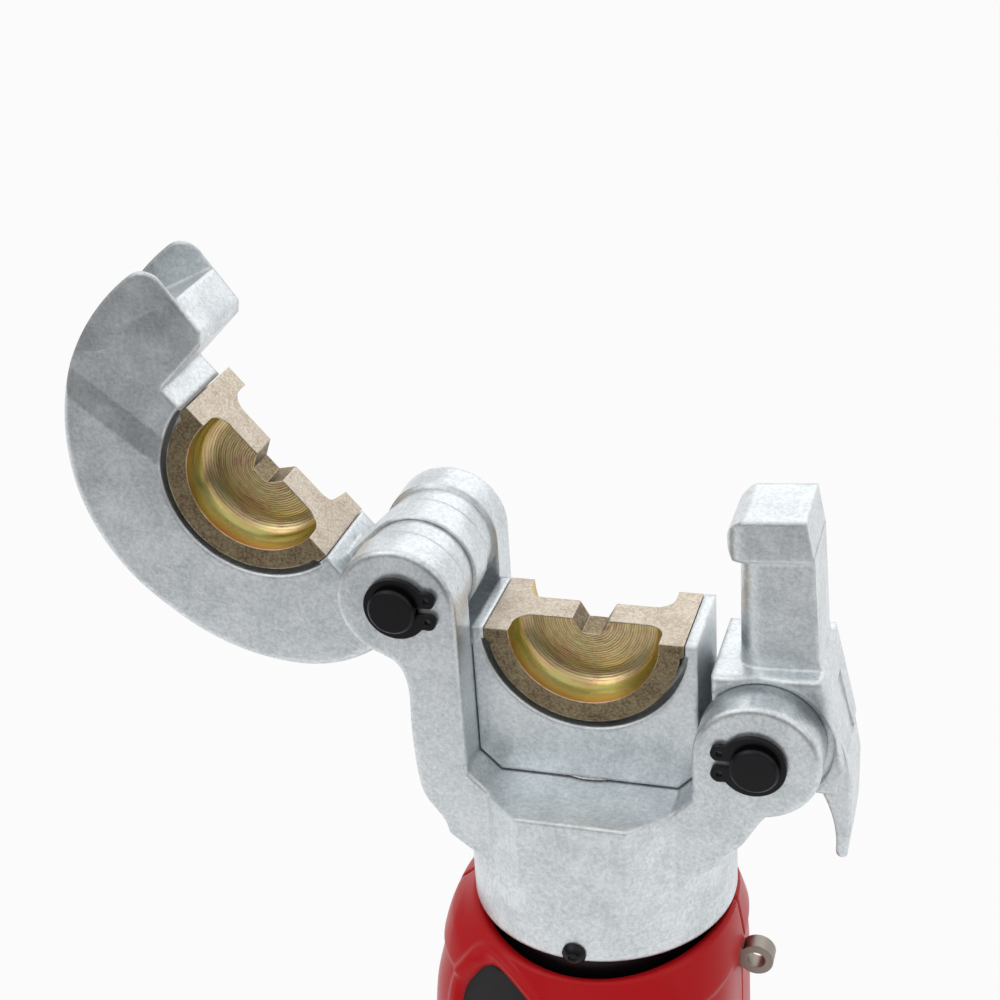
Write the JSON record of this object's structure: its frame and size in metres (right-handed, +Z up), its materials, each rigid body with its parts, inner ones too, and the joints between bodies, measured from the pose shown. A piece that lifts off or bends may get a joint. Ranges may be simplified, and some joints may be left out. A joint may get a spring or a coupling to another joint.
{
  "type": "battery hydraulic crimping tool",
  "caption": "Battery hydraulic cable crimping tool with a swivelling head, hinged upper jaw, latch, sliding dies and slide-on battery, standing upright.",
  "frame": {"origin": "middle of the battery's flat underside, below the head's swivel axis", "axes": "+Z up along the head's swivel axis, +X from the jaw's hinge to the latch, +Y to the back"},
  "size_m": [0.1984, 0.079, 0.4711],
  "materials": {
    "plated_steel": "satin",
    "yellow_passivated": "satin",
    "black_oxide": "satin",
    "red_plastic": "matte",
    "dark_rubber": "matte",
    "black_plastic": "matte",
    "machined_steel": "satin",
    "spring_steel": "satin",
    "bronze": "satin",
    "pump_aluminium": "satin",
    "motor_steel": "satin",
    "board_laminate": "satin",
    "cell_sleeve": "gloss"
  },
  "bodies": {
    "body": {"cylinder": "black_oxide", "relief_valve": "machined_steel", "pump_block": "pump_aluminium", "pump_plunger": "machined_steel", "pump_plug": "machined_steel", "plunger_spring": "spring_steel", "oil_bladder": "dark_rubber", "bladder_clamps": "machined_steel", "gearbox": "pump_aluminium", "motor": "motor_steel", "housing_front": "red_plastic", "housing_back": "red_plastic", "housing_screws": "black_oxide", "grip_inlay_front": "dark_rubber", "grip_inlay_back": "dark_rubber", "grip_sleeve": "black_plastic", "strap_eye": "machined_steel", "trigger_switch": "black_plastic", "circuit_board": "board_laminate"},
    "head": {"yoke": "plated_steel", "collar_screw": "black_oxide", "hinge_pin": "black_oxide", "hinge_pin_rings": "black_oxide", "rod_bush": "bronze"},
    "ram": {"ram_block": "plated_steel", "ram_screw": "black_oxide", "lower_die_detent": "machined_steel", "piston": "machined_steel", "piston_seal": "dark_rubber", "return_spring": "spring_steel"},
    "lower_die": {"lower_die": "yellow_passivated"},
    "jaw": {"upper_jaw": "plated_steel", "upper_die_detent": "machined_steel"},
    "upper_die": {"upper_die": "yellow_passivated"},
    "latch_pin": {"latch_pin": "black_oxide", "latch_pin_rings": "black_oxide"},
    "latch": {"latch": "plated_steel", "latch_spring": "spring_steel"},
    "trigger": {"trigger": "black_plastic", "trigger_spring": "spring_steel"},
    "release_button": {"release_button": "black_plastic", "release_spring": "spring_steel"},
    "motor_shaft": {"motor_shaft": "machined_steel"},
    "eccentric": {"eccentric_shaft": "machined_steel", "eccentric_bearing": "machined_steel"},
    "battery": {"battery_case": "black_plastic", "battery_cells": "cell_sleeve"},
    "battery_button_front": {"battery_button_front": "dark_rubber"},
    "battery_button_back": {"battery_button_back": "dark_rubber"}
  },
  "joints": [
    {"name": "head_swivel", "type": "hinge", "parent": "body", "child": "head", "pos_m": [0, 0, 0.3], "axis": [0, 0, 1], "range_deg": [-175, 175]},
    {"name": "ram_slide", "type": "slide", "parent": "head", "child": "ram", "axis": [0, 0, 1], "range_m": [0, 0.022], "deforming": ["return_spring"]},
    {"name": "lower_die_slide", "type": "slide", "parent": "ram", "child": "lower_die", "axis": [0, -1, 0], "range_m": [0, 0.03]},
    {"name": "jaw_hinge", "type": "hinge", "parent": "head", "child": "jaw", "pos_m": [-0.0436, 0, 0.3926], "axis": [0, 1, 0], "range_deg": [0, 130.5]},
    {"name": "upper_die_slide", "type": "slide", "parent": "jaw", "child": "upper_die", "axis": [0, -1, 0], "range_m": [0, 0.03]},
    {"name": "latch_pin_turn", "type": "hinge", "parent": "head", "child": "latch_pin", "pos_m": [0.0441, 0, 0.3582], "axis": [0, 1, 0], "range_deg": [-0.5, 24.9]},
    {"name": "latch_pivot", "type": "hinge", "parent": "latch_pin", "child": "latch", "pos_m": [0.0441, 0, 0.3582], "axis": [0, 1, 0], "range_deg": [-7.4, 0], "stiffness_Nm_per_rad": 1},
    {"name": "trigger_pull", "type": "slide", "parent": "body", "child": "trigger", "axis": [1, 0, 0], "range_m": [0, 0.004], "stiffness_N_per_m": 800, "deforming": ["trigger_spring"]},
    {"name": "release_press", "type": "slide", "parent": "body", "child": "release_button", "axis": [1, 0, 0], "range_m": [0, 0.002], "stiffness_N_per_m": 1200, "deforming": ["release_spring"]},
    {"name": "motor_spin", "type": "hinge", "parent": "body", "child": "motor_shaft", "pos_m": [0, 0, 0.161], "axis": [0, 0, 1], "continuous": true},
    {"name": "eccentric_spin", "type": "hinge", "parent": "body", "child": "eccentric", "pos_m": [0, 0, 0.187], "axis": [0, 0, 1], "continuous": true},
    {"name": "battery_slide", "type": "slide", "parent": "body", "child": "battery", "axis": [-1, 0, 0], "range_m": [0, 0.085]},
    {"name": "battery_button_front_press", "type": "slide", "parent": "battery", "child": "battery_button_front", "axis": [0, 1, 0], "range_m": [0, 0.0014], "stiffness_N_per_m": 800},
    {"name": "battery_button_back_press", "type": "slide", "parent": "battery", "child": "battery_button_back", "axis": [0, -1, 0], "range_m": [0, 0.0014], "stiffness_N_per_m": 800}
  ],
  "couplings": [
    {"joint": "latch_pin_turn", "follows": "jaw_hinge", "ratio": 0.18697},
    {"joint": "eccentric_spin", "follows": "motor_spin", "ratio": 0.2}
  ]
}
